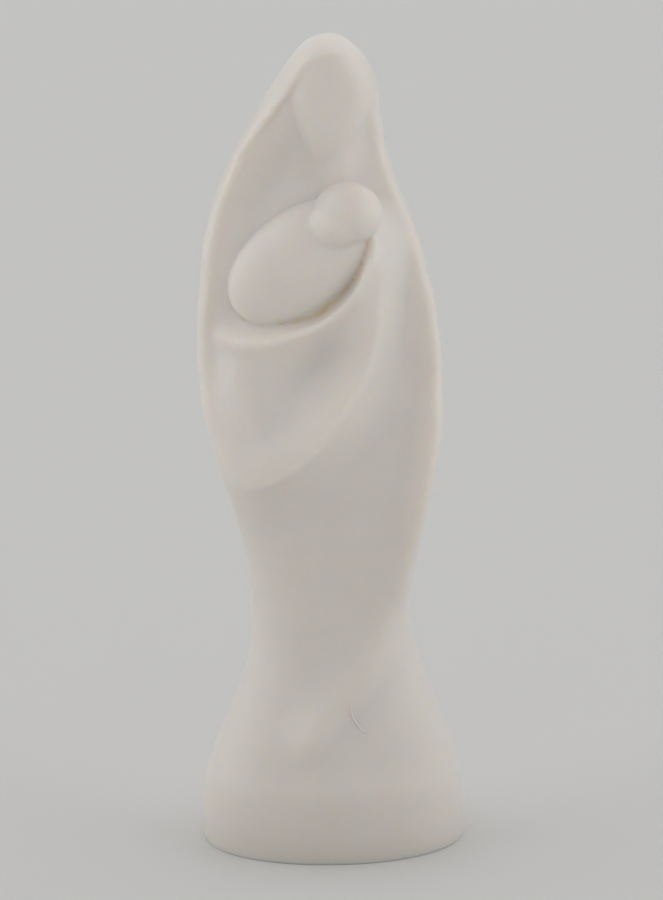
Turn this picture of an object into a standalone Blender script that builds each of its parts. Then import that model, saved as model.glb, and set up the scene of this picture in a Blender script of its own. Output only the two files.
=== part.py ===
"""Virgin and child: a smooth devotional statue, cast in one piece of white marble resin.

A tall mantle closes over the mother's head and spreads to an oval foot. Its open front holds a
plain oval face and a small child, who lies as an egg-shaped bundle in a sling of cloth. Below the
sling the dress runs down, and the mantle's hem crosses it from the right hip to the left toe.

The carving is laid out on a grid of its own, two hundred units from the floor to the top of the
hood, looked at square on. "Across" runs to the right of that view, "up" is the height, and
"forward" is the distance in front of the figure's middle.
"""

import math

import bmesh
import bpy
import numpy as np
from mathutils import Matrix, Vector

# Driving sizes, in metres.
HEIGHT = 0.200
FOOT_WIDTH = 0.0648
FOOT_DEPTH = 0.0494
FOOT_ROUNDING = 0.0005
# How far the carving faces round from the foot's short axis.
FACING = math.radians(6)

# The carving's grid.
UNITS_TALL = 200.0
UNIT = HEIGHT / UNITS_TALL

# The mesh: the cell of the soft surface, the passes that soften its creases, and the triangles left.
CELL = 0.0035 * HEIGHT
SOFTENING = 4
TRIANGLES = 9400
BODY_POINTS_ROUND = 256
BODY_POINTS_UP = 440
UNDERSIDE_RINGS = 14
# The body is made this much too long below the floor, and sawn off flat there.
SAWN_OFF = 0.008 * HEIGHT

# The edges of the mantle as seen from the front, from the top of the hood to the waist: (up, across).
LEFT_EDGE = [
    (200, -1.0), (198.6, -6.2), (193.9, -10.7), (184.3, -17.0), (174.8, -22.3), (165.1, -26.9),
    (155.4, -30.1), (140, -32.2), (126, -32.9), (116, -32.4), (101, -29.6), (86, -25.4),
    (71, -21.6), (56, -20.1),
]
RIGHT_EDGE = [
    (200, -1.0), (198, 3.8), (193.2, 8.1), (188.4, 10.1), (178.8, 11.5), (169.2, 13.4),
    (154.6, 18.9), (142, 22.7), (130, 25.1), (116, 26.1), (98, 25.1), (80, 21.6), (60, 18.0),
]
# How deep the plain ground of the front and the back are: (up, forward) and (up, behind).
FRONT_DEPTH = [
    (194.5, 12.0), (188, 11.8), (182, 11.4), (176, 11.2), (165, 10.8), (150, 10.2), (130, 9.8),
    (112, 12.4), (100, 14.8), (86, 16.3), (70, 16.8), (56, 16.9),
]
BACK_DEPTH = [
    (200, 0.0), (196, 6.4), (190, 10.0), (180, 13.0), (165, 15.5), (145, 17.0), (125, 17.5),
    (100, 16.5), (75, 15.5), (56, 15.5),
]
# How square the front of the section is: 2 is an ellipse, and more is a box with rounded corners.
FRONT_SQUARENESS = [
    (200, 2.2), (190, 2.6), (176, 5.0), (160, 7.0), (110, 6.0), (90, 3.2), (70, 2.3), (56, 2.1),
]
# Where the flare of the skirt starts and ends at the left, at the right, and in front and behind,
# and how late it swells: above 1 it swells nearer to the foot.
LEFT_FLARE = (56.0, 10.0, 1.15)
RIGHT_FLARE = (60.0, 6.0, 0.9)
DEPTH_FLARE = (56.0, 11.0, 1.2)

# The lines of the carving, as (across, up) points that a smooth line runs through.
SLING_LIP = [
    (-32.2, 132.7), (-29.7, 130.4), (-24.8, 128.4), (-15.2, 129.4), (-8.1, 131.6), (-3.3, 133.8),
    (1.4, 137.6), (4.9, 141.8), (7.5, 147.4), (9.2, 153.2), (9.8, 158.0),
]
SLING_HEM = [
    (10.6, 160.0), (11.0, 154.4), (11.8, 146.2), (11.9, 139.0), (11.2, 131.8), (9.9, 124.7),
    (7.5, 119.0), (4.6, 114.3), (0.9, 108.6), (-3.2, 103.6), (-8.3, 98.7), (-14.1, 94.8),
    (-18.9, 92.6), (-22.6, 92.2), (-27.0, 92.8),
]
SLING_FOLD = [(-25.0, 127.0), (-23.4, 119.0), (-20.8, 110.5), (-18.2, 103.0), (-16.5, 98.5)]
SIDE_TROUGH = [(19.9, 129.7), (20.2, 116.2), (18.3, 105.3), (14.4, 93.6), (12.0, 82.0)]
MANTLE_HEM = [
    (18.8, 66.0), (18.1, 62.3), (16.1, 59.9), (13.6, 54.4), (10.7, 48.9), (3.9, 41.3), (0.2, 38.1),
    (-4.6, 32.2), (-8.3, 27.7), (-11.9, 24.7),
]

# The child's bundle: its middle as (across, up, forward), its half sizes across, deep and up, and
# how far its right end is tilted up. The head is three balls, each with a middle and half sizes.
CHILD_MIDDLE = (-8.2, 147.4, 13.2)
CHILD_HALVES = (19.4, 8.4, 11.9)
CHILD_TILT = math.radians(36.8)
CHILD_HEAD = [
    ((3.2, 159.2, 15.0), (8.2, 8.4, 7.3)),
    ((0.4, 157.4, 17.4), (6.4, 6.4, 5.9)),
    ((-2.0, 156.0, 18.2), (3.8, 4.0, 3.8)),
]


def ease(value, low, high):
    """0 below low, 1 above high, and a smooth rise between."""
    share = np.clip((value - low) / (high - low), 0.0, 1.0)
    return share * share * (3 - 2 * share)


def hump(distance, width):
    """1 at no distance, falling away smoothly on both sides."""
    return np.exp(-((distance / width) ** 2))


def from_top(up):
    """The root of the drop from the top, in which a domed top is a straight line."""
    return np.sqrt(np.maximum(UNITS_TALL - up, 0.0))


def outline(points, up):
    """The value at each height, on a smooth line through (up, value) points with no overshoot."""
    places = from_top(np.array([point[0] for point in points]))
    values = np.array([point[1] for point in points])
    runs = np.diff(places)
    slopes = np.diff(values) / runs
    tangents = np.concatenate([slopes[:1], (slopes[1:] + slopes[:-1]) / 2, slopes[-1:]])
    tangents[1:-1][slopes[1:] * slopes[:-1] <= 0] = 0.0
    limit = 3 * np.minimum(np.abs(slopes[1:]), np.abs(slopes[:-1]))
    tangents[1:-1] = np.clip(tangents[1:-1], -limit, limit)
    place = np.clip(from_top(up), places[0], places[-1])
    index = np.clip(np.searchsorted(places, place, side="right") - 1, 0, len(runs) - 1)
    run = runs[index]
    share = (place - places[index]) / run
    start = values[index] + share * run * tangents[index]
    end = values[index + 1] - (1 - share) * run * tangents[index + 1]
    blend = share * share * (3 - 2 * share)
    return start * (1 - blend) + end * blend


def smooth_line(points, steps=8):
    """A denser row of points on a smooth line through the given ones."""
    points = np.array(points, float)
    before = np.vstack([2 * points[0] - points[1], points, 2 * points[-1] - points[-2]])
    dense = []
    for index in range(len(points) - 1):
        a, b, c, d = before[index : index + 4]
        for t in np.arange(steps) / steps:
            dense.append(
                0.5 * (2 * b + (c - a) * t + (2 * a - 5 * b + 4 * c - d) * t**2
                       + (3 * b - a - 3 * c + d) * t**3)
            )
    dense.append(points[-1])
    return np.array(dense)


def distance_to(points, across, up):
    """How far each place is to the right of a line, looking along it, and how far along it is, as
    a share. The line runs on straight past both of its ends."""
    line = smooth_line(points)
    nearest = np.full(across.shape, np.inf)
    side = np.zeros(across.shape)
    share = np.zeros(across.shape)
    count = len(line) - 1
    for index in range(count):
        start, way = line[index], line[index + 1] - line[index]
        length = np.hypot(*way)
        way = way / length
        along = (across - start[0]) * way[0] + (up - start[1]) * way[1]
        kept = np.clip(along, -1e3 if index == 0 else 0.0, 1e3 if index == count - 1 else length)
        aside = (across - start[0]) * way[1] - (up - start[1]) * way[0]
        distance = np.hypot(aside, along - kept)
        closer = distance < nearest
        nearest = np.where(closer, distance, nearest)
        side = np.where(closer, np.sign(aside), side)
        share = np.where(closer, np.clip((index + kept / length) / count, 0, 1), share)
    return nearest * side, share


def soft_max(first, second, softness):
    """The higher of two surfaces, with a fillet where they meet."""
    gap = np.abs(first - second) / softness
    return np.maximum(first, second) + softness * np.log1p(np.exp(-gap))


def flare(up, shape):
    """0 at the waist and 1 at the foot."""
    waist, end, lateness = shape
    return ease(waist - up, 0.0, waist - end) ** lateness


def foot():
    """The foot's half width and half depth in the view of the carving, and the lean of its oval."""
    half_width = FOOT_WIDTH / 2 / UNIT
    half_depth = FOOT_DEPTH / 2 / UNIT
    across = math.hypot(half_width * math.cos(FACING), half_depth * math.sin(FACING))
    lean = (half_width**2 - half_depth**2) * math.sin(FACING) * math.cos(FACING) / across**2
    return across, half_width * half_depth / across, lean


def edges(up):
    """The left and right edges of the figure at each height."""
    foot_across, _, _ = foot()
    left = outline(LEFT_EDGE, up)
    right = outline(RIGHT_EDGE, up)
    left = left + (-foot_across - left) * flare(up, LEFT_FLARE)
    right = right + (foot_across - right) * flare(up, RIGHT_FLARE)
    return left, right


def brow(across):
    """The height of the brow's edge: an arch over the face, which runs out into the side rims."""
    aside = np.abs(across - 0.3)
    arch = 196.6 - 0.03 * aside**2 - 0.00045 * aside**4
    run_out = 189.6 - 1.3 * (aside - 9.8)
    return np.where(aside < 9.8, arch, run_out)


def crown(up):
    """How far forward the rounded top of the hood reaches. Nothing stands out past it."""
    drop = np.clip((UNITS_TALL - up) / 6.0, 0.0, 1.0)
    return 14.0 * np.sqrt(1 - (1 - drop) ** 2)


def hood(across, up):
    """The top of the hood, down to the brow's edge."""
    return crown(up) - 40.0 * ease(brow(across) - up, -0.5, 9.0)


def face(across, up):
    """The mother's face: a plain oval, set a little back under the brow's edge."""
    upwards = (up - 186.5) / np.where(up > 186.5, 20.0, 16.2)
    taper = 1 - 0.4 * np.clip(-upwards, 0, 1)
    sideways = (across + 0.5 + 0.1 * (186.0 - up)) / (10.2 * taper)
    bulge = np.sqrt(np.clip(1 - (sideways**2 + upwards**2) ** 1.25, 0, 1))
    egg = 8.6 + 5.9 * bulge - 20.0 * (bulge == 0)
    # The forehead slopes back to the brow's edge.
    forehead = 11.0 + 0.3 * (197.0 - up)
    return -soft_max(-egg, -forehead, 0.8) - 40.0 * ease(up - brow(across), -1.0, 0.6)


def dent(across, up, place, size):
    """A round hollow or bump: 1 at its place and fading out over its size."""
    return np.exp(-(((across - place[0]) / size[0]) ** 2) - ((up - place[1]) / size[1]) ** 2)


def cove(across, up):
    """1 in the soft cove where the mantle meets the child's upper side, and 0 away from it."""
    right, above = across - CHILD_MIDDLE[0], up - CHILD_MIDDLE[1]
    along = math.cos(CHILD_TILT) * right + math.sin(CHILD_TILT) * above
    beside = math.cos(CHILD_TILT) * above - math.sin(CHILD_TILT) * right
    past_rim = np.hypot(along / CHILD_HALVES[0], beside / CHILD_HALVES[2]) - 0.9
    return hump(past_rim, 0.45) * ease(beside, -4.0, 4.0) * (1 - ease(along, 6.0, 16.0))


def mantle(across, up, left, right):
    """The plain ground of the front: the open mantle above, and the dress below."""
    ground = outline(FRONT_DEPTH, up)
    _, foot_depth, _ = foot()
    ground = ground + (foot_depth - ground) * flare(up, DEPTH_FLARE)
    # The soft edge along the top of the foot's upright band.
    ground = ground + 0.6 * hump(up - 17.5, 3.5)
    # The hollow between the mantle's left edge and the chest, which runs down behind the child.
    chest = 1.0 + 9.0 * (1 - ease(up, 150, 166))
    hollow = ease(across - left, 0.0, 14.0) * ease(chest - across, 0.0, 14.0)
    ground = ground - 3.4 * hollow * (1 - ease(up, 164, 188)) * ease(up, 120, 140)
    ground = ground + 2.5 * cove(across, up)
    # The bowl behind the child, and a small hollow beside the chin.
    bowl = ease(across, -20, 0) * (1 - ease(across, 8, 12)) * ease(up, 118, 130)
    ground = ground - bowl * (3.0 - 8.0 * ease(up, 145, 154)) * (1 - ease(up, 154, 162))
    ground = ground - 1.2 * dent(across, up, (8.3, 176.5), (3.0, 7.0))
    # The neck, and the hollow to the left of it.
    ground = ground + 1.8 * dent(across, up, (1.0, 169.0), (3.2, 7.0))
    ground = ground - 0.8 * dent(across, up, (-5.0, 168.0), (5.0, 7.0))
    # The right side falls away from the chest.
    ground = ground - 0.3 * np.maximum(across - 3.0, 0) * ease(up, 138, 158) * (1 - ease(up, 184, 194))
    trough, share = distance_to(SIDE_TROUGH, across, up)
    ground = ground - 0.6 * hump(trough, 4.5) * ease(share, 0, 0.3) * (1 - ease(share, 0.5, 1))
    # The raised lips along both edges.
    open_part = 1 - ease(up, 190, 197)
    ground = ground + 1.3 * hump(across - left - 1.5, 1.6) * open_part * ease(up, 124, 138)
    side_part = ease(up, 62, 84) * (1 - ease(up, 180, 190))
    return ground + 0.5 * hump(right - across - 1.4, 1.5) * side_part


def sling(across, up, ground):
    """The cloth that the child lies in: a lip round the child, a dimple, and a rounded lower hem."""
    below_lip, lip_share = distance_to(SLING_LIP, across, up)
    inside_hem, hem_share = distance_to(SLING_HEM, across, up)
    bend = 0.022 - 0.008 * (1 - ease(up, 94, 122))
    cloth = 20.8 - bend * (across + 6.0) ** 2 - 1.0 * (1 - ease(up, 94, 112))
    cloth = cloth + 1.2 * hump(below_lip - 0.6, 2.2)
    cloth = cloth + 1.0 * hump(inside_hem - 0.6, 1.8) + 3.2 * hump(inside_hem - 3.5, 6.0)
    # The dimple, which slants down to the left and is deepest under the lip.
    right, above = across + 6.0, up - 118.5
    down_left, across_it = -0.62 * right - 0.78 * above, 0.78 * right - 0.62 * above
    cloth = cloth - 9.5 * np.exp(-((down_left / 15.0) ** 2) - (across_it / 8.5) ** 2)
    cloth = cloth - 1.0 * dent(across, up, (-2.0, 125.5), (7.0, 6.0))
    fold, share = distance_to(SLING_FOLD, across, up)
    fades = ease(share, 0, 0.3) * (1 - ease(share, 0.5, 0.98))
    cloth = cloth + fades * (0.3 * hump(fold, 2.4) + 1.4 * ease(fold, -5.0, 1.5))
    # The cloth drops into the bowl behind the lip, and down to the ground outside the hem.
    lip_slope = 9.5 - 8.0 * ease(lip_share, 0.1, 0.52)
    behind_lip = ease(below_lip, -lip_slope, 0.3)
    # Outside the hem there is a small sharp step, and then a broad soft slope.
    step = 0.6 * ease(-inside_hem, -0.4, 1.0) * ease(hem_share, 0.2, 0.5)
    slope = 1 - ease(-inside_hem, 0.5, 13.0)
    there = slope * (1 - ease(up, 147, 163))
    # Under the child the cloth lies in a bed, which makes the groove beside the child a shallow one.
    bed = ground + (15.2 - ground) * ease(lip_share, 0.05, 0.45) * ease(below_lip, -10.0, -4.0)
    bed = np.maximum(bed, ground) * (1 - behind_lip) + ground * behind_lip
    raised = soft_max(cloth - ground, 0.0, 0.5) * behind_lip + (bed - ground) * (1 - behind_lip)
    return ground + raised * there - step * ease(up, 92, 100) * there


def hem_step(across, up):
    """The mantle's hem, which crosses the dress as a low crest."""
    under, share = distance_to(MANTLE_HEM, across, up)
    height = (3.8 - 0.9 * share) * (1 - ease(share, 0.78, 1.0))
    return height * hump(np.maximum(under, 0), 5.5) * (1 - ease(-under, -0.8, 6.5))


def front(across, up, left, right):
    """How far forward the body's surface is."""
    ground = soft_max(mantle(across, up, left, right), hood(across, up), 0.25)
    ground = soft_max(ground, face(across, up), 0.9)
    whole = sling(across, up, ground) + hem_step(across, up)
    return np.minimum(whole, crown(up) + 20.0 * ease(UNITS_TALL - up, 6.0, 12.0))


def body_points(angle, ring):
    """The body's points, in grid units, from the angle round it and the ring counted from the top."""
    rings_up = BODY_POINTS_UP - UNDERSIDE_RINGS
    share = np.minimum(ring / rings_up, 1.0)
    crowded = 0.06
    lowest = -SAWN_OFF / UNIT
    up = UNITS_TALL - (UNITS_TALL - lowest) * share * share * (1 + crowded) / (share + crowded)
    height = np.maximum(up, 0.0)
    left, right = edges(height)
    round_the_body = np.cos(angle)
    middle, half = (left + right) / 2, (right - left) / 2
    across = middle + half * round_the_body
    foot_across, foot_depth, lean = foot()
    # In front.
    square = outline(FRONT_SQUARENESS, height)
    mantle_side = ease(height, 52, 92) * (1 - ease(height, 104, 124))
    square = square + 4.0 * ease(round_the_body, -0.2, 0.6) * mantle_side
    corner = (1 - np.abs(round_the_body) ** square) ** (1 / square)
    forward = front(across, height, left, right) * corner
    # Behind.
    behind = outline(BACK_DEPTH, height)
    behind = behind + (foot_depth - behind) * flare(height, DEPTH_FLARE)
    behind = behind * np.abs(np.sin(angle))
    back = np.where(np.sin(angle) < 0, -forward, behind) + lean * half * round_the_body
    # The rings past the last one up close the underside, and the foot's edge is a little rounded.
    shrink = 1 - np.maximum(ring - rings_up, 0) / UNDERSIDE_RINGS
    rounding = FOOT_ROUNDING / UNIT
    shrink = shrink * (1 - (1 - ease(up, -rounding, 2 * rounding)) * rounding / foot_across)
    return np.stack([middle + (across - middle) * shrink, back * shrink, up], axis=1)


def add_body(mesh):
    """The body: a half circle of points turned into a ball, which is drawn out into the figure."""
    ball = bmesh.new()
    for ring in range(BODY_POINTS_UP + 1):
        slope = math.pi * ring / BODY_POINTS_UP
        ball.verts.new((math.sin(slope), 0.0, math.cos(slope)))
    ball.verts.ensure_lookup_table()
    for ring in range(BODY_POINTS_UP):
        ball.edges.new(ball.verts[ring : ring + 2])
    bmesh.ops.spin(
        ball, geom=ball.verts[:] + ball.edges[:], axis=(0, 0, 1), angle=2 * math.pi,
        steps=BODY_POINTS_ROUND, use_merge=True,
    )
    bmesh.ops.remove_doubles(ball, verts=ball.verts, dist=1e-5)
    bmesh.ops.recalc_face_normals(ball, faces=ball.faces)
    places = np.array([point.co for point in ball.verts])
    angle = np.arctan2(places[:, 1], places[:, 0])
    ring = np.arccos(np.clip(places[:, 2], -1, 1)) / math.pi * BODY_POINTS_UP
    for point, place in zip(ball.verts, body_points(angle, ring)):
        point.co = Vector(place) * UNIT
    join(mesh, ball)


def join(mesh, piece):
    """Adds one closed shape to the mesh and lets go of it."""
    data = bpy.data.meshes.new("piece")
    piece.to_mesh(data)
    piece.free()
    mesh.from_mesh(data)
    bpy.data.meshes.remove(data)


def add_egg(mesh, middle, halves, tilt=0.0):
    """An egg at (across, up, forward), with half sizes across, deep and up, its right end up."""
    across, up, forward = middle
    egg = bmesh.new()
    bmesh.ops.create_uvsphere(egg, u_segments=96, v_segments=64, radius=1.0)
    placed = (
        Matrix.Scale(UNIT, 4)
        @ Matrix.Translation((across, -forward, up))
        @ Matrix.Rotation(-tilt, 4, "Y")
        @ Matrix.Diagonal((*halves, 1.0))
    )
    bmesh.ops.transform(egg, matrix=placed, verts=egg.verts)
    join(mesh, egg)


def add_child(mesh):
    """The child: an egg-shaped bundle, and a round head that runs out into a smaller lobe."""
    add_egg(mesh, CHILD_MIDDLE, CHILD_HALVES, CHILD_TILT)
    for middle, halves in CHILD_HEAD:
        add_egg(mesh, middle, halves)


def resin():
    """White marble resin with a soft satin polish."""
    material = bpy.data.materials.new("white_resin")
    material.use_nodes = True
    shader = material.node_tree.nodes["Principled BSDF"]
    shader.inputs["Base Color"].default_value = (0.83, 0.80, 0.76, 1.0)
    shader.inputs["Roughness"].default_value = 0.45
    shader.inputs["Metallic"].default_value = 0.0
    return material


def saw(collection):
    """The block under the floor that cuts the foot flat."""
    mesh = bmesh.new()
    bmesh.ops.create_cube(mesh, size=1.0)
    side = 2 * max(FOOT_WIDTH, FOOT_DEPTH, HEIGHT / 2)
    bmesh.ops.scale(mesh, vec=(side, side, HEIGHT / 4), verts=mesh.verts)
    bmesh.ops.translate(mesh, vec=(0, 0, -HEIGHT / 8), verts=mesh.verts)
    data = bpy.data.meshes.new("floor_saw")
    mesh.to_mesh(data)
    mesh.free()
    block = bpy.data.objects.new("floor_saw", data)
    block.hide_render = True
    block.display_type = "WIRE"
    collection.objects.link(block)
    return block


def statue(collection, cutter):
    """The whole figure as one solid: melted together, softened, thinned out and sawn flat."""
    mesh = bmesh.new()
    add_body(mesh)
    add_child(mesh)
    # The foot's long axis goes along X, and the carving faces a little to one side.
    bmesh.ops.rotate(mesh, matrix=Matrix.Rotation(-FACING, 3, "Z"), verts=mesh.verts)
    data = bpy.data.meshes.new("virgin_and_child")
    mesh.to_mesh(data)
    mesh.free()
    data.materials.append(resin())
    figure = bpy.data.objects.new("virgin_and_child", data)
    collection.objects.link(figure)
    melt = figure.modifiers.new("melt together", "REMESH")
    melt.mode = "VOXEL"
    melt.voxel_size = CELL
    soften = figure.modifiers.new("soften creases", "SMOOTH")
    soften.factor = 0.5
    soften.iterations = SOFTENING
    thin = figure.modifiers.new("thin out", "DECIMATE")
    thin.use_collapse_triangulate = True
    evaluated = figure.evaluated_get(bpy.context.evaluated_depsgraph_get())
    faces_made = len(evaluated.data.polygons)
    thin.ratio = min(1.0, TRIANGLES / (2 * faces_made))
    flat = figure.modifiers.new("saw flat", "BOOLEAN")
    flat.operation = "DIFFERENCE"
    flat.object = cutter
    return figure


def main():
    for thing in list(bpy.data.objects):
        bpy.data.objects.remove(thing)
    parts = bpy.data.collections.new("virgin and child statue")
    cutters = bpy.data.collections.new("cutters")
    for collection in (parts, cutters):
        bpy.context.scene.collection.children.link(collection)
    cutters.hide_render = True
    statue(parts, saw(cutters))


main()
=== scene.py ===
# %% [markdown]
# A small statue of a mother and child, about 20 cm tall, cast in one piece from white marble
# resin. It is very smooth: the hood, the oval face, the child in its sling and the skirt all flow
# into each other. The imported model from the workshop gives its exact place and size, so that is
# loaded first and measured.

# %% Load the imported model
import math

import bmesh
import bpy
import numpy as np
from mathutils import Matrix, Vector


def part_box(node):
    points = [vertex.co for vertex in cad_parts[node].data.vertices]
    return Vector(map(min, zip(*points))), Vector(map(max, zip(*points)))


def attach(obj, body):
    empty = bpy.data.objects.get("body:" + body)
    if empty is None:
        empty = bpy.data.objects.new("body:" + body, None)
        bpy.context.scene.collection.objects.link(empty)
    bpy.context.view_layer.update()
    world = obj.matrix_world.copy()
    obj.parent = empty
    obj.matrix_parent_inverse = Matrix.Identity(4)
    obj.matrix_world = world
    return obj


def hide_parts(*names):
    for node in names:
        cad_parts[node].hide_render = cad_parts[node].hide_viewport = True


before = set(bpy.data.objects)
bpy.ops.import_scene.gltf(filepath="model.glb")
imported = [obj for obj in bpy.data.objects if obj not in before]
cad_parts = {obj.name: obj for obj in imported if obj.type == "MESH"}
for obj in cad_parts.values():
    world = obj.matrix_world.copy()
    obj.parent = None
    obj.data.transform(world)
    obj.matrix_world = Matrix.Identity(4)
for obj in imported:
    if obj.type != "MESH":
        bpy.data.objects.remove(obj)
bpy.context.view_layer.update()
scene = bpy.context.scene
low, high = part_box("virgin_and_child")
print("statue from", [round(v, 4) for v in low], "to", [round(v, 4) for v in high])

# %% [markdown]
# The photograph was taken with a long lens, slightly from above. A long lens flattens a small
# object in the way a product photographer likes. The camera is placed by its distance and its
# angle above the table, and looks at a point near the middle of the statue.

# %% Set up the camera
CAMERA_DISTANCE = 0.90
CAMERA_ABOVE = math.radians(13.5)
LOOKS_AT = Vector((-0.0006, 0.0, 0.0981))
LENS_MM, SENSOR_MM = 147.6, 36.0
# The carving faces this far round from the foot's short axis, and the camera looks at it squarely.
FACING = math.radians(6)

turned = Matrix.Rotation(-FACING, 3, "Z")
toward_camera = turned @ Vector((0, -math.cos(CAMERA_ABOVE), math.sin(CAMERA_ABOVE)))
camera_data = bpy.data.cameras.new("photo_camera")
camera_data.sensor_fit = "VERTICAL"
camera_data.sensor_height = SENSOR_MM
camera_data.lens = LENS_MM
camera = bpy.data.objects.new("photo_camera", camera_data)
camera.location = turned @ LOOKS_AT + toward_camera * CAMERA_DISTANCE
camera.rotation_euler = (-toward_camera).to_track_quat("-Z", "Y").to_euler()
scene.collection.objects.link(camera)
scene.camera = camera
print("camera at", [round(v, 3) for v in camera.location])

# %% [markdown]
# The front of the statue is carved like a relief: for each place across and up there is one depth.
# So the whole front can be a formula, written in units of a two hundredth of the height. Two small
# helpers do most of the shaping. One eases a value from 0 to 1, and the other makes a rounded hump.

# %% The carving's units and its two main helpers
UNITS_TALL = 200.0
UNIT = (high[2] - low[2]) / UNITS_TALL
# The oval of the foot, in units.
FOOT_WIDTH, FOOT_DEPTH = 64.8, 49.4


def ease(value, start, end):
    """0 before start, 1 past end, and a smooth rise between."""
    share = np.clip((value - start) / (end - start), 0.0, 1.0)
    return share * share * (3 - 2 * share)


def hump(distance, width):
    """1 at no distance, falling away smoothly on both sides."""
    return np.exp(-((distance / width) ** 2))


print("one unit is", round(UNIT * 1000, 3), "mm")

# %% [markdown]
# The outline is drawn with only the points that its shape needs, and a smooth curve through them.
# Near the top the hood is round, so its width grows with the square root of the drop from the top.
# The curve is therefore worked out along that root, where a round top becomes a straight line.

# %% A smooth outline through a few points


def from_top(up):
    """The root of the drop from the top of the hood."""
    return np.sqrt(np.maximum(UNITS_TALL - up, 0.0))


def outline(points, up):
    """The value at each height on a smooth line through (up, value) points, with no overshoot."""
    places = from_top(np.array([point[0] for point in points]))
    values = np.array([point[1] for point in points])
    runs = np.diff(places)
    slopes = np.diff(values) / runs
    tangents = np.concatenate([slopes[:1], (slopes[1:] + slopes[:-1]) / 2, slopes[-1:]])
    tangents[1:-1][slopes[1:] * slopes[:-1] <= 0] = 0.0
    limit = 3 * np.minimum(np.abs(slopes[1:]), np.abs(slopes[:-1]))
    tangents[1:-1] = np.clip(tangents[1:-1], -limit, limit)
    place = np.clip(from_top(up), places[0], places[-1])
    index = np.clip(np.searchsorted(places, place, side="right") - 1, 0, len(runs) - 1)
    run = runs[index]
    share = (place - places[index]) / run
    start = values[index] + share * run * tangents[index]
    end = values[index + 1] - (1 - share) * run * tangents[index + 1]
    blend = share * share * (3 - 2 * share)
    return start * (1 - blend) + end * blend


dome = outline([(UNITS_TALL, 0.0), (0, 10.0)], UNITS_TALL / 2)
print("half way up a dome 10 wide, the outline is", round(float(dome), 2), "wide")

# %% [markdown]
# The mantle is narrow at the hood, widest at the mother's elbows, drawn in at the knees, and flares
# out to an oval foot. Its two sides differ, because the figure sways. The oval of the foot is
# turned a few degrees against the carving, which a lean of the section takes care of.

# %% The silhouette from the hood to the foot
LEFT_EDGE = [
    (200, -1.0), (198.6, -6.2), (193.9, -10.7), (184.3, -17.0), (174.8, -22.3), (165.1, -26.9),
    (155.4, -30.1), (140, -32.2), (126, -32.9), (116, -32.4), (101, -29.6), (86, -25.4),
    (71, -21.6), (56, -20.1),
]
RIGHT_EDGE = [
    (200, -1.0), (198, 3.8), (193.2, 8.1), (188.4, 10.1), (178.8, 11.5), (169.2, 13.4),
    (154.6, 18.9), (142, 22.7), (130, 25.1), (116, 26.1), (98, 25.1), (80, 21.6), (60, 18.0),
]
# The flare of the skirt: where it starts, where it ends, and how late it swells.
LEFT_FLARE, RIGHT_FLARE, DEPTH_FLARE = (56.0, 10.0, 1.15), (60.0, 6.0, 0.9), (56.0, 11.0, 1.2)


def flare(up, shape):
    """0 at the waist and 1 at the foot."""
    waist, end, lateness = shape
    return ease(waist - up, 0.0, waist - end) ** lateness


def foot():
    """The foot's half width and half depth as the camera sees them, and the lean of its oval."""
    half_width, half_depth = FOOT_WIDTH / 2, FOOT_DEPTH / 2
    across = math.hypot(half_width * math.cos(FACING), half_depth * math.sin(FACING))
    lean = (half_width**2 - half_depth**2) * math.sin(FACING) * math.cos(FACING) / across**2
    return across, half_width * half_depth / across, lean


def edges(up):
    """The left and right edges of the figure at each height."""
    foot_across, _, _ = foot()
    left, right = outline(LEFT_EDGE, up), outline(RIGHT_EDGE, up)
    left = left + (-foot_across - left) * flare(up, LEFT_FLARE)
    right = right + (foot_across - right) * flare(up, RIGHT_FLARE)
    return left, right


print("widest at the elbows:", np.round(np.diff(edges(np.array([126.0])), axis=0)[0, 0], 1), "units")

# %% [markdown]
# The hood's front edge is an arch. Above it the hood bulges forward, and under it sits the face, a
# plain egg with no features. Where two forms meet, the higher of the two shows, and a soft maximum
# puts a small fillet into the corner, as the polished resin has.

# %% The hood and the face
# The middle of the brow's edge, and how far to each side its arch goes.
BROW_MIDDLE, BROW_HALF_WIDTH = (0.3, 196.6), 9.8
# The rounded top of the hood: how tall it is, and how far forward it reaches.
CROWN_TALL, CROWN_FORWARD = 6.0, 14.0
# The middle of the face, half its width, and its reach above and below the middle.
FACE_MIDDLE, FACE_HALF_WIDTH = (-0.5, 186.5), 10.2
FACE_ABOVE, FACE_BELOW = 20.0, 16.2


def soft_max(first, second, softness):
    """The higher of two surfaces, with a fillet where they meet."""
    gap = np.abs(first - second) / softness
    return np.maximum(first, second) + softness * np.log1p(np.exp(-gap))


def brow(across):
    """The height of the brow's edge: an arch over the face, which runs out into the side rims."""
    aside = np.abs(across - BROW_MIDDLE[0])
    arch = BROW_MIDDLE[1] - 0.03 * aside**2 - 0.00045 * aside**4
    run_out = 189.6 - 1.3 * (aside - BROW_HALF_WIDTH)
    return np.where(aside < BROW_HALF_WIDTH, arch, run_out)


def crown(up):
    """How far forward the rounded top of the hood reaches. Nothing stands out past it."""
    drop = np.clip((UNITS_TALL - up) / CROWN_TALL, 0.0, 1.0)
    return CROWN_FORWARD * np.sqrt(1 - (1 - drop) ** 2)


def hood(across, up):
    """The top of the hood, down to the brow's edge."""
    return crown(up) - 40.0 * ease(brow(across) - up, -0.5, 9.0)


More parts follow.
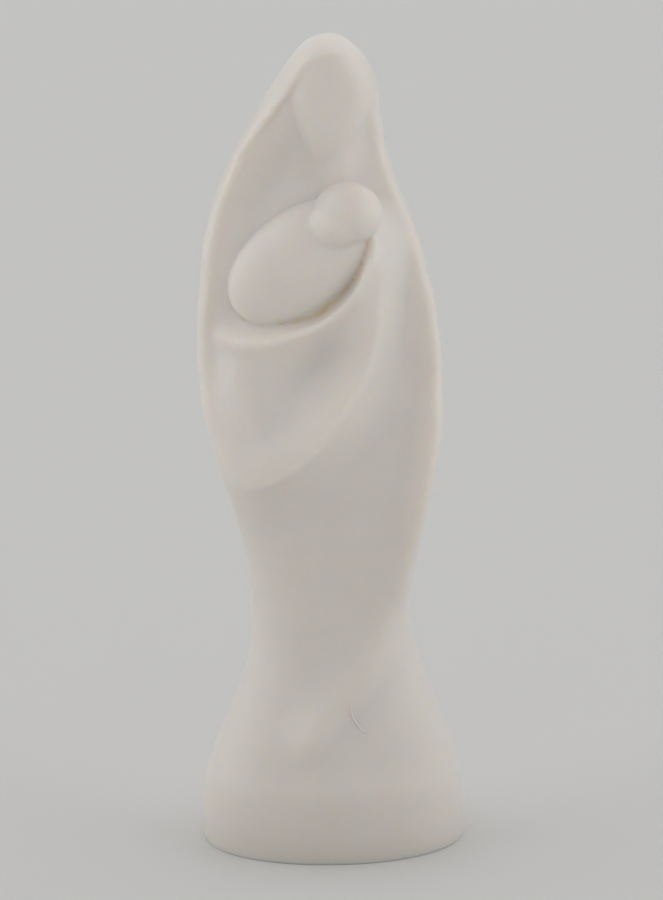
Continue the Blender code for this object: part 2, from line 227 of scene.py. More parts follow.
def face(across, up):
    """A plain oval, set a little back under the brow's edge."""
    upwards = (up - FACE_MIDDLE[1]) / np.where(up > FACE_MIDDLE[1], FACE_ABOVE, FACE_BELOW)
    taper = 1 - 0.4 * np.clip(-upwards, 0, 1)
    # The face leans a little, so its chin is to the left of its forehead.
    lean = 0.1 * (186.0 - up)
    sideways = (across - FACE_MIDDLE[0] + lean) / (FACE_HALF_WIDTH * taper)
    bulge = np.sqrt(np.clip(1 - (sideways**2 + upwards**2) ** 1.25, 0, 1))
    egg = 8.6 + 5.9 * bulge - 20.0 * (bulge == 0)
    # The forehead slopes back to the brow's edge.
    forehead = 11.0 + 0.3 * (197.0 - up)
    return -soft_max(-egg, -forehead, 0.8) - 40.0 * ease(up - brow(across), -1.0, 0.6)


print("middle of the face:", round(float(face(*FACE_MIDDLE)), 1), "units forward")
print("hood at the brow's edge:", round(float(hood(*BROW_MIDDLE)), 1), "units forward")

# %% [markdown]
# Folds and hems follow lines across the body. Each is drawn as a few points with a smooth line
# through them. To carve along it, every place on the body needs its distance to the line, with a
# sign for the side that it lies on, and how far along the line it is.

# %% Lines to carve along


def smooth_line(points, steps=8):
    """A denser row of points on a smooth line through the given ones."""
    points = np.array(points, float)
    before = np.vstack([2 * points[0] - points[1], points, 2 * points[-1] - points[-2]])
    dense = []
    for index in range(len(points) - 1):
        a, b, c, d = before[index : index + 4]
        for t in np.arange(steps) / steps:
            bend = (2 * a - 5 * b + 4 * c - d) * t**2 + (3 * b - a - 3 * c + d) * t**3
            dense.append(0.5 * (2 * b + (c - a) * t + bend))
    dense.append(points[-1])
    return np.array(dense)


def distance_to(points, across, up):
    """How far each place is to the right of a line, looking along it, and its share of the line."""
    line = smooth_line(points)
    nearest = np.full(across.shape, np.inf)
    side, share = np.zeros(across.shape), np.zeros(across.shape)
    count = len(line) - 1
    for index in range(count):
        start, way = line[index], line[index + 1] - line[index]
        length = np.hypot(*way)
        way = way / length
        along = (across - start[0]) * way[0] + (up - start[1]) * way[1]
        first, last = index == 0, index == count - 1
        kept = np.clip(along, -1e3 if first else 0.0, 1e3 if last else length)
        aside = (across - start[0]) * way[1] - (up - start[1]) * way[0]
        distance = np.hypot(aside, along - kept)
        closer = distance < nearest
        nearest = np.where(closer, distance, nearest)
        side = np.where(closer, np.sign(aside), side)
        share = np.where(closer, np.clip((index + kept / length) / count, 0, 1), share)
    return nearest * side, share


print("3 points make a smooth line of", len(smooth_line([(0, 0), (1, 1), (2, 0)])), "points")

# %% [markdown]
# The mantle hangs open in front. Inside it the surface is hollow, with a thin raised lip along both
# edges, a bowl behind the child and a long trough down the right side. A soft cove fills the
# corner along the child's upper side. Below the sling the mantle closes over the dress and swells
# gently towards the foot.

# %% The open mantle and the dress
FRONT_DEPTH = [
    (194.5, 12.0), (188, 11.8), (182, 11.4), (176, 11.2), (165, 10.8), (150, 10.2), (130, 9.8),
    (112, 12.4), (100, 14.8), (86, 16.3), (70, 16.8), (56, 16.9),
]
SIDE_TROUGH = [(19.9, 129.7), (20.2, 116.2), (18.3, 105.3), (14.4, 93.6), (12.0, 82.0)]
# The child's bundle: its middle (across, up, forward), its half sizes across, deep and up, and how
# far its right end is tilted up.
CHILD_MIDDLE, CHILD_HALVES = (-8.2, 147.4, 13.2), (19.4, 8.4, 11.9)
CHILD_TILT = math.radians(36.8)


def dent(across, up, place, size):
    """A round hollow or bump: 1 at its place and fading out over its size."""
    return np.exp(-(((across - place[0]) / size[0]) ** 2) - ((up - place[1]) / size[1]) ** 2)


def cove(across, up):
    """1 in the soft cove where the mantle meets the child's upper side, and 0 away from it."""
    right, above = across - CHILD_MIDDLE[0], up - CHILD_MIDDLE[1]
    along = math.cos(CHILD_TILT) * right + math.sin(CHILD_TILT) * above
    beside = math.cos(CHILD_TILT) * above - math.sin(CHILD_TILT) * right
    past_rim = np.hypot(along / CHILD_HALVES[0], beside / CHILD_HALVES[2]) - 0.9
    return hump(past_rim, 0.45) * ease(beside, -4.0, 4.0) * (1 - ease(along, 6.0, 16.0))


def mantle(across, up, left, right):
    """The plain ground of the front: the open mantle above, and the dress below."""
    _, foot_depth, _ = foot()
    ground = outline(FRONT_DEPTH, up)
    ground = ground + (foot_depth - ground) * flare(up, DEPTH_FLARE)
    # The soft edge along the top of the foot's upright band.
    ground = ground + 0.6 * hump(up - 17.5, 3.5)
    # The hollow between the mantle's left edge and the chest, which runs down behind the child.
    chest = 1.0 + 9.0 * (1 - ease(up, 150, 166))
    hollow = ease(across - left, 0.0, 14.0) * ease(chest - across, 0.0, 14.0)
    ground = ground - 3.4 * hollow * (1 - ease(up, 164, 188)) * ease(up, 120, 140)
    ground = ground + 2.5 * cove(across, up)
    # The bowl behind the child.
    bowl = ease(across, -20, 0) * (1 - ease(across, 8, 12)) * ease(up, 118, 130)
    ground = ground - bowl * (3.0 - 8.0 * ease(up, 145, 154)) * (1 - ease(up, 154, 162))
    # The hollow beside the chin, the neck, and the hollow to the left of it.
    ground = ground - 1.2 * dent(across, up, (8.3, 176.5), (3.0, 7.0))
    ground = ground + 1.8 * dent(across, up, (1.0, 169.0), (3.2, 7.0))
    ground = ground - 0.8 * dent(across, up, (-5.0, 168.0), (5.0, 7.0))
    # The right side falls away from the chest.
    fall = ease(up, 138, 158) * (1 - ease(up, 184, 194))
    ground = ground - 0.3 * np.maximum(across - 3.0, 0) * fall
    trough, share = distance_to(SIDE_TROUGH, across, up)
    ground = ground - 0.6 * hump(trough, 4.5) * ease(share, 0, 0.3) * (1 - ease(share, 0.5, 1))
    # The raised lips along both edges.
    open_part = 1 - ease(up, 190, 197)
    ground = ground + 1.3 * hump(across - left - 1.5, 1.6) * open_part * ease(up, 124, 138)
    side_part = ease(up, 62, 84) * (1 - ease(up, 180, 190))
    return ground + 0.5 * hump(right - across - 1.4, 1.5) * side_part


waist = float(outline(FRONT_DEPTH, UNITS_TALL / 2))
print("front of the body half way up:", round(waist, 1), "units forward")

# %% [markdown]
# The child lies in a sling of cloth. Its upper lip curls round the child, the cloth below sags into
# a soft three-cornered dimple, and a rounded hem runs from the child's head down and round to the
# left hip. The cloth is one arched sheet, with the lip, the hem and the folds added to it.

# %% The sling
SLING_LIP = [
    (-32.2, 132.7), (-29.7, 130.4), (-24.8, 128.4), (-15.2, 129.4), (-8.1, 131.6), (-3.3, 133.8),
    (1.4, 137.6), (4.9, 141.8), (7.5, 147.4), (9.2, 153.2), (9.8, 158.0),
]
SLING_HEM = [
    (10.6, 160.0), (11.0, 154.4), (11.8, 146.2), (11.9, 139.0), (11.2, 131.8), (9.9, 124.7),
    (7.5, 119.0), (4.6, 114.3), (0.9, 108.6), (-3.2, 103.6), (-8.3, 98.7), (-14.1, 94.8),
    (-18.9, 92.6), (-22.6, 92.2), (-27.0, 92.8),
]
SLING_FOLD = [(-25.0, 127.0), (-23.4, 119.0), (-20.8, 110.5), (-18.2, 103.0), (-16.5, 98.5)]


def sling_cloth(across, up, below_lip, inside_hem):
    """The sheet of cloth itself, with its lip, its hem, its dimple and its fold."""
    bend = 0.022 - 0.008 * (1 - ease(up, 94, 122))
    cloth = 20.8 - bend * (across + 6.0) ** 2 - 1.0 * (1 - ease(up, 94, 112))
    cloth = cloth + 1.2 * hump(below_lip - 0.6, 2.2)
    cloth = cloth + 1.0 * hump(inside_hem - 0.6, 1.8) + 3.2 * hump(inside_hem - 3.5, 6.0)
    # The dimple, which slants down to the left and is deepest under the lip.
    right, above = across + 6.0, up - 118.5
    down_left, across_it = -0.62 * right - 0.78 * above, 0.78 * right - 0.62 * above
    cloth = cloth - 9.5 * np.exp(-((down_left / 15.0) ** 2) - (across_it / 8.5) ** 2)
    cloth = cloth - 1.0 * dent(across, up, (-2.0, 125.5), (7.0, 6.0))
    fold, share = distance_to(SLING_FOLD, across, up)
    fades = ease(share, 0, 0.3) * (1 - ease(share, 0.5, 0.98))
    return cloth + fades * (0.3 * hump(fold, 2.4) + 1.4 * ease(fold, -5.0, 1.5))


def sling(across, up, ground):
    """The ground with the sling laid over it."""
    below_lip, lip_share = distance_to(SLING_LIP, across, up)
    inside_hem, hem_share = distance_to(SLING_HEM, across, up)
    cloth = sling_cloth(across, up, below_lip, inside_hem)
    # The cloth drops into the bowl behind the lip, and down to the ground outside the hem.
    lip_slope = 9.5 - 8.0 * ease(lip_share, 0.1, 0.52)
    behind_lip = ease(below_lip, -lip_slope, 0.3)
    # Outside the hem there is a small sharp step, and then a broad soft slope.
    step = 0.6 * ease(-inside_hem, -0.4, 1.0) * ease(hem_share, 0.2, 0.5)
    slope = 1 - ease(-inside_hem, 0.5, 13.0)
    there = slope * (1 - ease(up, 147, 163))
    # Under the child the cloth lies in a bed, which makes the groove beside the child a shallow one.
    bed = ground + (15.2 - ground) * ease(lip_share, 0.05, 0.45) * ease(below_lip, -10.0, -4.0)
    bed = np.maximum(bed, ground) * (1 - behind_lip) + ground * behind_lip
    raised = soft_max(cloth - ground, 0.0, 0.5) * behind_lip + (bed - ground) * (1 - behind_lip)
    return ground + raised * there - step * ease(up, 92, 100) * there


hem_steps = np.diff(smooth_line(SLING_HEM), axis=0)
print("the sling's hem is", round(float(np.hypot(*hem_steps.T).sum())), "units long")

# %% [markdown]
# One more line crosses the skirt, from the right hip to the left toe: the hem of the mantle. It is
# a low crest that rises slowly from the upper left and drops softly on the lower right. With it the
# front is complete, and one function gives its depth anywhere.

# %% The mantle's hem, and the whole front
MANTLE_HEM = [
    (18.8, 66.0), (18.1, 62.3), (16.1, 59.9), (13.6, 54.4), (10.7, 48.9), (3.9, 41.3), (0.2, 38.1),
    (-4.6, 32.2), (-8.3, 27.7), (-11.9, 24.7),
]


def hem_step(across, up):
    """The low crest of the mantle's hem."""
    under, share = distance_to(MANTLE_HEM, across, up)
    height = (3.8 - 0.9 * share) * (1 - ease(share, 0.78, 1.0))
    return height * hump(np.maximum(under, 0), 5.5) * (1 - ease(-under, -0.8, 6.5))


def front(across, up, left, right):
    """How far forward the body's surface is."""
    ground = soft_max(mantle(across, up, left, right), hood(across, up), 0.25)
    ground = soft_max(ground, face(across, up), 0.9)
    whole = sling(across, up, ground) + hem_step(across, up)
    # Near the top nothing stands out past the rounded crown.
    return np.minimum(whole, crown(up) + 20.0 * ease(UNITS_TALL - up, CROWN_TALL, 12.0))


half_way = np.array([UNITS_TALL / 2])
belly = front(np.array([0.0]), half_way, *edges(half_way))
print("with the sling on it, half way up:", round(float(belly[0]), 1), "units forward")

# %% [markdown]
# Seen from above, the body is a rounded shape. In front its corners are squarer where the mantle is
# open, and the back is a plain half ellipse, as on figures that are made to stand against a wall.
# So each ring of the body is a circle that is pushed out to that section. The rings run a little
# way below the floor, where the foot is sawn off later.

# %% The section of the body at each ring
BACK_DEPTH = [
    (200, 0.0), (196, 6.4), (190, 10.0), (180, 13.0), (165, 15.5), (145, 17.0), (125, 17.5),
    (100, 16.5), (75, 15.5), (56, 15.5),
]
FRONT_SQUARENESS = [
    (200, 2.2), (190, 2.6), (176, 5.0), (160, 7.0), (110, 6.0), (90, 3.2), (70, 2.3), (56, 2.1),
]
RINGS = 520
UNDERSIDE_RINGS, SAWN_OFF = 16, 1.6
# The smaller this is, the closer together the rings stand near the round top of the hood.
RING_SPREAD = 0.06


def body_points(angle, ring):
    """The body's points, in units, from the angle round it and the ring counted from the top."""
    rings_up = RINGS - UNDERSIDE_RINGS
    share = np.minimum(ring / rings_up, 1.0)
    drop = (UNITS_TALL + SAWN_OFF) * share * share * (1 + RING_SPREAD) / (share + RING_SPREAD)
    up = UNITS_TALL - drop
    height = np.maximum(up, 0.0)
    left, right = edges(height)
    round_the_body = np.cos(angle)
    middle, half = (left + right) / 2, (right - left) / 2
    across = middle + half * round_the_body
    _, foot_depth, lean = foot()
    square = outline(FRONT_SQUARENESS, height)
    mantle_side = ease(height, 52, 92) * (1 - ease(height, 104, 124))
    square = square + 4.0 * ease(round_the_body, -0.2, 0.6) * mantle_side
    corner = (1 - np.abs(round_the_body) ** square) ** (1 / square)
    forward = front(across, height, left, right) * corner
    behind = outline(BACK_DEPTH, height)
    behind = behind + (foot_depth - behind) * flare(height, DEPTH_FLARE)
    behind = behind * np.abs(np.sin(angle))
    back = np.where(np.sin(angle) < 0, -forward, behind) + lean * half * round_the_body
    # The last rings close the underside.
    shrink = 1 - np.maximum(ring - rings_up, 0) / UNDERSIDE_RINGS
    return np.stack([middle + (across - middle) * shrink, back * shrink, up], axis=1)


print(RINGS, "rings, of which", UNDERSIDE_RINGS, "close the underside")

# %% [markdown]
# A ball is the simplest closed shape that has rings. A half circle of points is spun round into a
# ball, and each of its points then moves to its place on the body. Nothing about which point joins
# which has to be worked out by hand.

# %% Spin a ball and draw it out into the body
POINTS_ROUND = 320


def spun_ball():
    """A ball of rings, with its poles at the top and the bottom."""
    ball = bmesh.new()
    for ring in range(RINGS + 1):
        slope = math.pi * ring / RINGS
        ball.verts.new((math.sin(slope), 0.0, math.cos(slope)))
    ball.verts.ensure_lookup_table()
    for ring in range(RINGS):
        ball.edges.new(ball.verts[ring : ring + 2])
    bmesh.ops.spin(
        ball, geom=ball.verts[:] + ball.edges[:], axis=(0, 0, 1), angle=2 * math.pi,
        steps=POINTS_ROUND, use_merge=True,
    )
    bmesh.ops.remove_doubles(ball, verts=ball.verts, dist=1e-5)
    bmesh.ops.recalc_face_normals(ball, faces=ball.faces)
    return ball


def mesh_of(shape, name):
    """A mesh from a bmesh, which is let go."""
    data = bpy.data.meshes.new(name)
    shape.to_mesh(data)
    shape.free()
    return data


body = spun_ball()
places = np.array([point.co for point in body.verts])
angles = np.arctan2(places[:, 1], places[:, 0])
rings = np.arccos(np.clip(places[:, 2], -1, 1)) / math.pi * RINGS
for point, place in zip(body.verts, body_points(angles, rings)):
    point.co = Vector(place) * UNIT
statue = bmesh.new()
statue.from_mesh(mesh_of(body, "body"))
print("body drawn out from", len(statue.verts), "points")

# %% [markdown]
# The child is as simple as the mother: a long tilted egg for the swaddled body, and a head of three
# overlapping balls. The two smaller balls fill the head out towards the body. Each form is a sphere
# that is stretched and moved into the sling, so that part of it is inside the mother's body.

# %% The child
# Each ball of the head, as its middle and its half sizes.
CHILD_HEAD = [
    ((3.2, 159.2, 15.0), (8.2, 8.4, 7.3)),
    ((0.4, 157.4, 17.4), (6.4, 6.4, 5.9)),
    ((-2.0, 156.0, 18.2), (3.8, 4.0, 3.8)),
]


def add_egg(middle, halves, tilt=0.0):
    """An egg at (across, up, forward), with half sizes across, deep and up, its right end up."""
    across, up, forward = middle
    egg = bmesh.new()
    bmesh.ops.create_uvsphere(egg, u_segments=128, v_segments=96, radius=1.0)
    placed = (
        Matrix.Scale(UNIT, 4)
        @ Matrix.Translation((across, -forward, up))
        @ Matrix.Rotation(-tilt, 4, "Y")
        @ Matrix.Diagonal((*halves, 1.0))
    )
    bmesh.ops.transform(egg, matrix=placed, verts=egg.verts)
    statue.from_mesh(mesh_of(egg, "egg"))


add_egg(CHILD_MIDDLE, CHILD_HALVES, CHILD_TILT)
for middle, halves in CHILD_HEAD:
    add_egg(middle, halves)
print("child added:", len(statue.verts), "points in all")

# %% [markdown]
# The real figure is one casting, so the overlapping forms have to become one skin. A voxel remesh
# melts them together, and a few rounds of smoothing give the soft creases of polished resin. The
# cell is small enough to keep the thin lips, and large enough to keep the mesh light.

# %% Melt the forms into one skin
MELT_CELL = 0.00066
SOFTENING = 4

bmesh.ops.rotate(statue, matrix=turned, verts=statue.verts)
rough = bpy.data.objects.new("rough_statue", mesh_of(statue, "rough_statue"))
scene.collection.objects.link(rough)
melt = rough.modifiers.new("melt together", "REMESH")
melt.mode = "VOXEL"
melt.voxel_size = MELT_CELL
soften = rough.modifiers.new("soften creases", "SMOOTH")
soften.factor = 0.5
soften.iterations = SOFTENING
melted = bpy.data.meshes.new_from_object(rough.evaluated_get(bpy.context.evaluated_depsgraph_get()))
bpy.data.objects.remove(rough)
print("melted skin:", len(melted.polygons), "faces")

# %% [markdown]
# Last, the foot is sawn flat at the floor, and its sharp edge is rounded, as a maker does with
# sandpaper. A bevel would catch on the small uneven faces along the saw cut. So the skin is first
# cut into a few level rings, the rings are drawn in along a quarter circle, and then the hole is
# filled. The rim stays a sharp edge in the shading, which keeps the underside's shade off the wall.
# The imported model's flat facets cut its round foot short by a hundredth of a millimetre or two. So
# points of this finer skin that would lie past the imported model's box are set back onto it.

# %% Saw the foot flat and round its edge
FOOT_ROUNDING = 0.0004
# How high above the floor each ring is cut, as a share of the rounding.
RINGS_OF_ROUNDING = (1.0, 0.55, 0.25, 0.08)

skin = bmesh.new()
skin.from_mesh(melted)


def cut_level(height, saw_off=False):
    """Cut the skin at one height, and take away what is below if it is sawn off."""
    everything = skin.verts[:] + skin.edges[:] + skin.faces[:]
    cut = bmesh.ops.bisect_plane(
        skin, geom=everything, dist=1e-6, plane_co=(0, 0, height), plane_no=(0, 0, -1),
        clear_outer=saw_off,
    )
    return [edge for edge in cut["geom_cut"] if isinstance(edge, bmesh.types.BMEdge)]


for share in RINGS_OF_ROUNDING:
    cut_level(share * FOOT_ROUNDING)
rim = cut_level(0.0, saw_off=True)
for point in skin.verts:
    short = FOOT_ROUNDING - point.co.z
    if short > 0:
        drawn_in = FOOT_ROUNDING - math.sqrt(max(FOOT_ROUNDING**2 - short**2, 0.0))
        shrink = 1 - drawn_in / math.hypot(point.co.x, point.co.y)
        point.co.x *= shrink
        point.co.y *= shrink
    point.co.x = min(max(point.co.x, low[0]), high[0])
    point.co.y = min(max(point.co.y, low[1]), high[1])
for edge in rim:
    edge.smooth = False
bmesh.ops.holes_fill(skin, edges=rim, sides=0)
bmesh.ops.recalc_face_normals(skin, faces=skin.faces)
open_edges = sum(not edge.is_manifold for edge in skin.edges)
figure_mesh = mesh_of(skin, "statue")
figure_mesh.shade_smooth()
figure = bpy.data.objects.new("statue", figure_mesh)
scene.collection.objects.link(figure)
print("statue:", len(figure_mesh.polygons), "faces,", open_edges, "open edges")

# %% [markdown]
# Shade is painted into the creases below the child: a warm colour that stands in for the groove's
# shade and the warm light that scatters into it. To find the creases, a copy of the surface is
# smoothed far more than the real one. Where the smoothed surface lies outside the real one there is
# a hollow, and how far outside says how deep it is. Only the creases below the child's middle get
# this painted shade, because the ones above it show no warm colour on the real figure. The result
# goes onto the mesh as an attribute, which the material reads.

# %% Find the creases
CREASE_REACH = 0.0024
SHALLOW, DEEP = 0.00035, 0.0009


def crease_depth(mesh):
    """How far each point lies below the smoothed surface, in metres."""
    count = len(mesh.vertices)
    places, normals = np.empty(count * 3), np.empty(count * 3)
    mesh.vertices.foreach_get("co", places)
    mesh.vertices.foreach_get("normal", normals)
    places, normals = places.reshape(-1, 3), normals.reshape(-1, 3)
    ends = np.empty(len(mesh.edges) * 2, dtype=int)
    mesh.edges.foreach_get("vertices", ends)
    here, there = np.concatenate([ends, ends.reshape(-1, 2)[:, ::-1].ravel()]).reshape(-1, 2).T
    neighbours = np.bincount(here, minlength=count)[:, None]
    smoothed = places
    for _ in range(round(2 * (CREASE_REACH / MELT_CELL) ** 2)):
        sums = [np.bincount(here, smoothed[there, axis], count) for axis in range(3)]
        smoothed = (smoothed + np.stack(sums, axis=1) / neighbours) / 2
    return ((smoothed - places) * normals).sum(axis=1)


def below_the_child(mesh):
    """1 on and under the child's lower side, where the crease shade is painted, and 0 from a little
    above its middle.
    """
    places = np.array([turned.inverted() @ point.co for point in mesh.vertices]) / UNIT
    right, above = places[:, 0] - CHILD_MIDDLE[0], places[:, 2] - CHILD_MIDDLE[1]
    beside = math.cos(CHILD_TILT) * above - math.sin(CHILD_TILT) * right
    return 1 - ease(beside, -6.0, 2.0)


# Painted shade: how much of the warm crease colour each point gets.
creases = ease(crease_depth(figure_mesh), SHALLOW, DEEP) * below_the_child(figure_mesh)
crease_shade = figure_mesh.attributes.new("crease_shade", "FLOAT", "POINT")
crease_shade.data.foreach_set("value", creases)
print("wax on", int((creases > 0).sum()), "points, at its thickest", round(float(creases.max()), 2))

# %% [markdown]
# Marble resin is a white polyester with marble dust in it. One flat white would look like plastic.
# The real one has soft clouds of two close tints. Two more colours are painted shade: a warm shade
# in the groove under the child, and a lower half that is darkened towards the foot, most of all at
# its lower edge. Each of these is a short chain of nodes that reads the place on the object or the
# mesh's own attribute, so the pattern stays on the statue when the camera moves.

# %% The colours of the resin
RESIN_TINTS = [(0.825, 0.782, 0.73, 1.0), (0.855, 0.814, 0.765, 1.0)]
# Painted shade: the warm colour that stands in for the shade in the groove under the child.
CREASE_SHADE_COLOUR = (0.80, 0.58, 0.24, 1.0)
# Painted shade, darker towards the floor: how dark the resin is made up to this height in metres,
# as (share of the way, colour).
SHADE_PAINTED_UP_TO = 0.115
FOOT_SHADE_STOPS = [
    (0.0, (0.80, 0.79, 0.77, 1.0)), (0.06, (0.87, 0.865, 0.855, 1.0)),
    (0.17, (0.92, 0.92, 0.917, 1.0)), (0.75, (0.925, 0.924, 0.92, 1.0)), (1.0, (1.0, 1.0, 1.0, 1.0)),
]


def clouded(nodes, links, place):
    """The resin's own colour: soft clouds of two close tints."""
    cloud = nodes.new("ShaderNodeTexNoise")
    cloud.inputs["Scale"].default_value = 60.0
    cloud.inputs["Detail"].default_value = 4.0
    links.new(place, cloud.inputs["Vector"])
    tint = nodes.new("ShaderNodeValToRGB")
    for stop, position, colour in zip(tint.color_ramp.elements, (0.3, 0.7), RESIN_TINTS):
        stop.position = position
        stop.color = colour
    links.new(cloud.outputs["Fac"], tint.inputs["Fac"])
    return tint.outputs["Color"]


def with_crease_shade(nodes, links, colour):
    """The colour with painted shade laid over it, in the creases that the mesh's attribute marks."""
    crease_shade_amount = nodes.new("ShaderNodeAttribute")
    crease_shade_amount.attribute_name = "crease_shade"
    laid_over = nodes.new("ShaderNodeMix")
    laid_over.data_type = "RGBA"
    laid_over.inputs["B"].default_value = CREASE_SHADE_COLOUR
    links.new(crease_shade_amount.outputs["Fac"], laid_over.inputs["Factor"])
    links.new(colour, laid_over.inputs["A"])
    return laid_over.outputs["Result"]


def darkened_towards_foot(nodes, links, place, colour):
    """The colour darkened with painted shade towards the foot, most of all at its lower edge."""
    height = nodes.new("ShaderNodeSeparateXYZ")
    links.new(place, height.inputs["Vector"])
    on_scale = nodes.new("ShaderNodeMapRange")
    on_scale.inputs["From Max"].default_value = SHADE_PAINTED_UP_TO
    links.new(height.outputs["Z"], on_scale.inputs["Value"])
    foot_shade_ramp = nodes.new("ShaderNodeValToRGB")
    ramp = foot_shade_ramp.color_ramp.elements
    ramp[0].color, ramp[1].color = FOOT_SHADE_STOPS[0][1], FOOT_SHADE_STOPS[-1][1]
    for position, tone in FOOT_SHADE_STOPS[1:-1]:
        ramp.new(position).color = tone
    links.new(on_scale.outputs["Result"], foot_shade_ramp.inputs["Fac"])
    # Painted shade: the ramp darkens the colour towards the foot.
    darkened = nodes.new("ShaderNodeMix")
    darkened.data_type = "RGBA"
    darkened.blend_type = "MULTIPLY"
    darkened.inputs["Factor"].default_value = 1.0
    links.new(colour, darkened.inputs["A"])
    links.new(foot_shade_ramp.outputs["Color"], darkened.inputs["B"])
    return darkened.outputs["Result"]


print("resin dulled up to", SHADE_PAINTED_UP_TO * 1000, "mm above the floor")

# %% [markdown]
# The resin is faintly see-through at its thin edges and polished to a satin. A plain glossy shader
# would make it look painted, so light is let a short way under the surface, where it scatters and
# comes out warmer. Very fine noise in the gloss and the bump gives the grain of the marble dust.

# %% The white marble resin


def grained(nodes, links, place, shader):
    """Very fine noise in the shader's gloss and bump."""
    grain = nodes.new("ShaderNodeTexNoise")
    grain.inputs["Scale"].default_value = 900.0
    grain.inputs["Detail"].default_value = 3.0
    links.new(place, grain.inputs["Vector"])
    gloss = nodes.new("ShaderNodeMapRange")
    gloss.inputs["To Min"].default_value = 0.42
    gloss.inputs["To Max"].default_value = 0.56
    links.new(grain.outputs["Fac"], gloss.inputs["Value"])
    links.new(gloss.outputs["Result"], shader.inputs["Roughness"])
    bump = nodes.new("ShaderNodeBump")
    bump.inputs["Strength"].default_value = 0.15
    bump.inputs["Distance"].default_value = 0.00005
    links.new(grain.outputs["Fac"], bump.inputs["Height"])
    links.new(bump.outputs["Normal"], shader.inputs["Normal"])


def white_resin():
    """Satin white marble resin, slightly see-through, with a very fine grain."""
    material = bpy.data.materials.new("white_resin")
    material.use_nodes = True
    nodes, links = material.node_tree.nodes, material.node_tree.links
    shader = nodes["Principled BSDF"]
    shader.inputs["Subsurface Weight"].default_value = 1.0
    shader.inputs["Subsurface Radius"].default_value = (1.0, 0.7, 0.42)
    shader.inputs["Subsurface Scale"].default_value = 0.0036
    shader.inputs["Specular IOR Level"].default_value = 0.5
    shader.inputs["Metallic"].default_value = 0.0
    shader.inputs["Coat Weight"].default_value = 0.35
    shader.inputs["Coat Roughness"].default_value = 0.4
    place = nodes.new("ShaderNodeTexCoord").outputs["Object"]
    colour = with_crease_shade(nodes, links, clouded(nodes, links, place))
    links.new(darkened_towards_foot(nodes, links, place, colour), shader.inputs["Base Color"])
    grained(nodes, links, place, shader)
    return material


figure_mesh.materials.append(white_resin())
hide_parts("virgin_and_child")
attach(figure, "root")
print("statue painted with", figure_mesh.materials[0].name)

# %% [markdown]
# On the skirt there is a thin raised line, like a hair that was caught in the mould. It is a thread
# far finer than the melted skin's cells, so it is its own small piece: a few points across the
# skirt, dropped onto the statue by casting a ray from the front, with a thin tube along them.

# %% The raised line on the skirt
RAISED_LINE = [(4.1, 39.6), (4.1, 38.0), (4.6, 36.2), (5.4, 34.6), (6.8, 32.9), (8.4, 31.8)]
LINE_THICKNESS = 0.0003
# How far the thread's middle lies above the surface, and how thin its ends are, as shares.
LINE_LIFTED, LINE_ENDS = 0.3, 0.4


def thread_resin_painted_light():
    """Resin too thin for light to scatter in, so not see-through, and tinted paler as a painted
    highlight.
    """
    material = bpy.data.materials.new("thread_resin_painted_light")
    material.use_nodes = True
    nodes, links = material.node_tree.nodes, material.node_tree.links
    shader = nodes["Principled BSDF"]
    shader.inputs["Roughness"].default_value = 0.5
    place = nodes.new("ShaderNodeTexCoord")
    grain = nodes.new("ShaderNodeTexNoise")
    grain.inputs["Scale"].default_value = 900.0
    links.new(place.outputs["Object"], grain.inputs["Vector"])
    # Painted highlight: the thread's tint is paler than the statue's resin, for the light its crest
    # catches.
    tint = nodes.new("ShaderNodeValToRGB")
    tint.color_ramp.elements[0].color = (0.92, 0.90, 0.87, 1.0)
    tint.color_ramp.elements[1].color = (0.95, 0.93, 0.90, 1.0)
    links.new(grain.outputs["Fac"], tint.inputs["Fac"])
    links.new(tint.outputs["Color"], shader.inputs["Base Color"])
    return material


def on_the_front(across, up):
    """The place on the statue's front at (across, up), a hair's breadth above the surface."""
    start = turned @ (Vector((across, -UNITS_TALL / 2, up)) * UNIT)
    _, place, outwards, _ = figure.ray_cast(start, turned @ Vector((0.0, 1.0, 0.0)))
    return place + outwards * LINE_THICKNESS * LINE_LIFTED


thread = bpy.data.curves.new("raised_line", "CURVE")
thread.dimensions = "3D"
thread.bevel_depth = LINE_THICKNESS / 2
thread.bevel_resolution = 3
thread.use_fill_caps = True
spline = thread.splines.new("POLY")
spline.points.add(len(RAISED_LINE) - 1)
for knot, (across, up) in zip(spline.points, RAISED_LINE):
    knot.co = (*on_the_front(across, up), 1.0)
    knot.radius = 1.0
spline.points[0].radius = LINE_ENDS
spline.points[-1].radius = LINE_ENDS
drawn = bpy.data.objects.new("drawn_line", thread)
scene.collection.objects.link(drawn)
graph = bpy.context.evaluated_depsgraph_get()
raised_mesh = bpy.data.meshes.new_from_object(drawn.evaluated_get(graph))
bpy.data.objects.remove(drawn)
closed = bmesh.new()
closed.from_mesh(raised_mesh)
bmesh.ops.remove_doubles(closed, verts=closed.verts, dist=1e-6)
bmesh.ops.recalc_face_normals(closed, faces=closed.faces)
raised_line = bpy.data.objects.new("raised_line", mesh_of(closed, "raised_line"))
raised_line.data.shade_smooth()
raised_line.data.materials.append(thread_resin_painted_light())
scene.collection.objects.link(raised_line)
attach(raised_line, "root")
print("raised line:", len(raised_line.data.polygons), "faces")

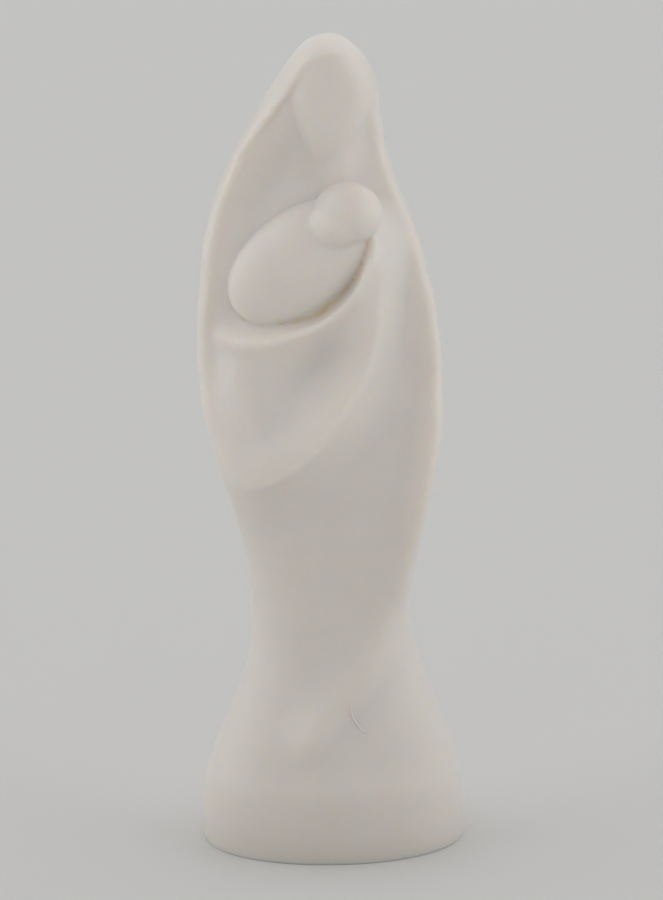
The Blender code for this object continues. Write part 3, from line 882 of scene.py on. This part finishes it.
# %% [markdown]
# The statue stands on a pale seamless floor. The camera looks down on it, so a large disc is all
# that it sees. The disc is matt, because a shiny floor would mirror the statue.

# %% The floor
FLOOR_RADIUS = 12.0

disc = bmesh.new()
bmesh.ops.create_circle(disc, cap_ends=True, segments=64, radius=FLOOR_RADIUS)
floor = bpy.data.objects.new("floor", mesh_of(disc, "floor"))
scene.collection.objects.link(floor)
paper = bpy.data.materials.new("pale_paper")
paper.use_nodes = True
paper_shader = paper.node_tree.nodes["Principled BSDF"]
paper_shader.inputs["Base Color"].default_value = (0.75, 0.745, 0.733, 1.0)
paper_shader.inputs["Roughness"].default_value = 0.9
paper_shader.inputs["Specular IOR Level"].default_value = 0.1
floor.data.materials.append(paper)
print("floor disc", 2 * FLOOR_RADIUS, "m across")

# %% [markdown]
# The light is that of a white tent: strongest from both sides, soft from above and behind, and
# weakest from the camera, which stands in the tent's opening. A faint sky lights everything evenly.
# Suns with a very wide disc stand for the tent's walls, because a sun lights the whole floor alike.

# %% The light of a white tent
WIDE = math.radians(80)


def tent_wall(name, bearing, height, strength):
    """A very soft sun: bearing is degrees round to the right, and 0 is behind the statue."""
    light = bpy.data.lights.new(name, "SUN")
    light.angle = WIDE
    light.energy = strength
    lamp = bpy.data.objects.new(name, light)
    way = Matrix.Rotation(math.radians(-bearing), 3, "Z") @ Vector((0, 1, 0))
    way = turned @ way * math.cos(math.radians(height))
    way.z = math.sin(math.radians(height))
    lamp.rotation_euler = way.to_track_quat("Z", "Y").to_euler()
    scene.collection.objects.link(lamp)


tent_wall("tent_back", 0, 40, 0.93)
tent_wall("tent_left", -90, 20, 1.4)
tent_wall("tent_right", 90, 20, 1.37)
tent_wall("tent_front", 180, 30, 0.72)
sky = bpy.data.worlds.new("tent")
sky.use_nodes = True
sky.node_tree.nodes["Background"].inputs["Color"].default_value = (1.0, 1.0, 1.0, 1.0)
sky.node_tree.nodes["Background"].inputs["Strength"].default_value = 0.08
scene.world = sky
scene.view_settings.view_transform = "Standard"
